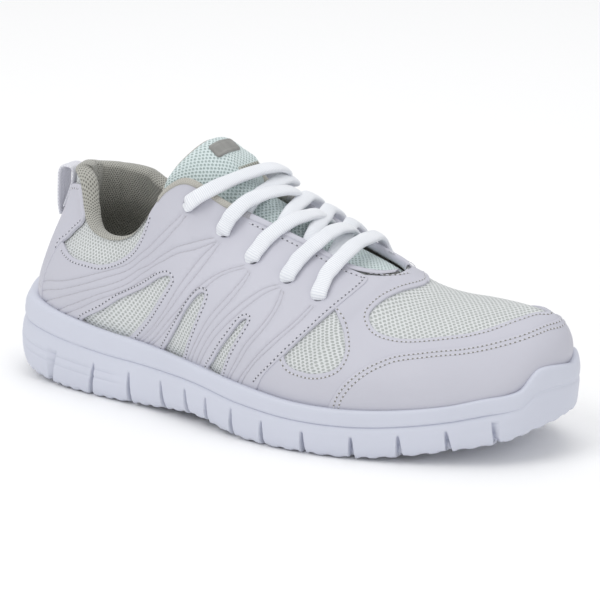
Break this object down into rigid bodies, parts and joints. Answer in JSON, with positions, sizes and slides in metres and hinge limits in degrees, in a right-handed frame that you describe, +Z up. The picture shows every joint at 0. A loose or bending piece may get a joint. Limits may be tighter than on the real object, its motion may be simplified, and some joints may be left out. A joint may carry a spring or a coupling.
{
  "type": "cheer shoe",
  "caption": "Low cheer shoe for the right foot with a flexing foam sole, mesh upper under smooth overlays, padded collar and tongue, laces and a heel loop.",
  "frame": {"origin": "middle of the sole's outline at ground level", "axes": "+X towards the toe, +Y towards the inner (medial) side, +Z up"},
  "size_m": [0.283, 0.1055, 0.117],
  "materials": {
    "foam": "matte moulded foam",
    "tread": "matte",
    "strobel": "woven",
    "insole": "knit on foam",
    "stiffener": "matte",
    "mesh": "open mesh",
    "smooth_upper": "smooth, low sheen",
    "padding": "foam",
    "lining": "knit",
    "binding": "folded tape",
    "tongue_mesh": "open mesh",
    "patch": "silver grey",
    "tape": "woven tape",
    "lace": "ribbed weave"
  },
  "bodies": {
    "rear": {"midsole_rear": "foam", "tread_heel": "tread", "tread_ball": "tread", "strobel_rear": "strobel", "insole_rear": "insole", "heel_counter": "stiffener", "mesh_lateral": "mesh", "mesh_medial": "mesh", "mesh_vamp": "mesh", "overlay_lateral": "smooth_upper", "overlay_medial": "smooth_upper", "overlay_vamp": "smooth_upper", "backstay": "smooth_upper", "collar_padding": "padding", "collar_lining": "lining", "binding_lateral": "binding", "binding_medial": "binding", "tongue_face": "tongue_mesh", "tongue_padding": "padding", "tongue_lining": "lining", "pull_tab": "tape", "lace_lateral_1": "lace", "lace_lateral_2": "lace", "lace_lateral_3": "lace", "lace_lateral_4": "lace", "lace_lateral_5": "lace", "lace_medial_1": "lace", "lace_medial_2": "lace", "lace_medial_3": "lace", "lace_medial_4": "lace"},
    "forefoot": {"midsole_front": "foam", "tread_flex": "tread", "tread_toe": "tread", "strobel_front": "strobel", "insole_front": "insole", "toe_puff": "stiffener", "mesh_toe": "mesh", "toe_guard": "smooth_upper"},
    "tongue_top": {"tongue_top_face": "tongue_mesh", "tongue_top_padding": "lining", "tongue_patch": "patch"}
  },
  "joints": [
    {"name": "toe_flex", "type": "hinge", "parent": "rear", "child": "forefoot", "pos_m": [0.0635, 0.008, 0.026], "axis": [0, -1, 0], "range_deg": [0, 30], "stiffness_Nm_per_rad": 1.2, "deforming": ["mesh_vamp", "overlay_vamp"]},
    {"name": "tongue_fold", "type": "hinge", "parent": "rear", "child": "tongue_top", "pos_m": [-0.0305, 0.008, 0.1075], "axis": [0, 1, 0], "range_deg": [0, 40], "stiffness_Nm_per_rad": 0.04}
  ]
}
